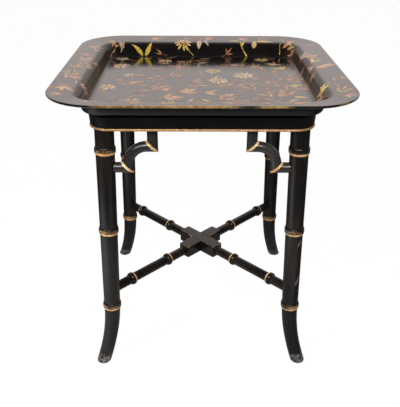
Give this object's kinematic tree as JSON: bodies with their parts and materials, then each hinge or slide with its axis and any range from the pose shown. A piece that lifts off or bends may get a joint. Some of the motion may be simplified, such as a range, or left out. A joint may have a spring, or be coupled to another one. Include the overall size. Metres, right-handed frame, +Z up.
{
  "type": "tray table",
  "caption": "Black lacquered square tray with gilt flower sprays, resting on a ring-turned faux-bamboo stand with splayed feet, curved brackets and a crossed stretcher.",
  "frame": {"origin": "on the floor under the middle of the tray, which is also the middle of the object's box", "axes": "+Z up, +X along the tray's width, -Y the front"},
  "size_m": [0.553, 0.547, 0.5905],
  "materials": {
    "tray_lacquer": "black lacquer over moulded papier-mache, polished to a high gloss",
    "stand_lacquer": "turned hardwood, black paint with a brown undertone, satin-gloss, lightly worn",
    "gilding": "gold and bronze-powder gilding over wood or lacquer, worn",
    "bare_wood": "plain unpainted softwood and dowel"
  },
  "bodies": {
    "stand": {"rest_panel": "bare_wood", "apron_rail_front": "stand_lacquer", "apron_rail_back": "stand_lacquer", "apron_rail_left": "stand_lacquer", "apron_rail_right": "stand_lacquer", "corner_block_front_left": "stand_lacquer", "corner_block_front_right": "stand_lacquer", "corner_block_back_left": "stand_lacquer", "corner_block_back_right": "stand_lacquer", "gilt_bead_front": "gilding", "gilt_bead_back": "gilding", "gilt_bead_left": "gilding", "gilt_bead_right": "gilding", "rail_dowels": "bare_wood", "leg_front_left": "stand_lacquer", "leg_front_right": "stand_lacquer", "leg_back_left": "stand_lacquer", "leg_back_right": "stand_lacquer", "foot_front_left": "stand_lacquer", "foot_front_right": "stand_lacquer", "foot_back_left": "stand_lacquer", "foot_back_right": "stand_lacquer", "foot_dowels": "bare_wood", "level_cane_front_left": "stand_lacquer", "level_cane_front_right": "stand_lacquer", "level_cane_back_left": "stand_lacquer", "level_cane_back_right": "stand_lacquer", "curved_cane_front_left": "stand_lacquer", "curved_cane_front_right": "stand_lacquer", "curved_cane_back_left": "stand_lacquer", "curved_cane_back_right": "stand_lacquer", "upright_cane_front_left": "stand_lacquer", "upright_cane_front_right": "stand_lacquer", "upright_cane_back_left": "stand_lacquer", "upright_cane_back_right": "stand_lacquer", "bracket_dowels": "bare_wood", "stretcher_lower": "stand_lacquer", "stretcher_upper": "stand_lacquer"},
    "tray": {"tray": "tray_lacquer"}
  },
  "joints": [
    {"name": "tray_lift", "type": "slide", "parent": "stand", "child": "tray", "axis": [0, 0, 1], "range_m": [0, 0.15]}
  ]
}
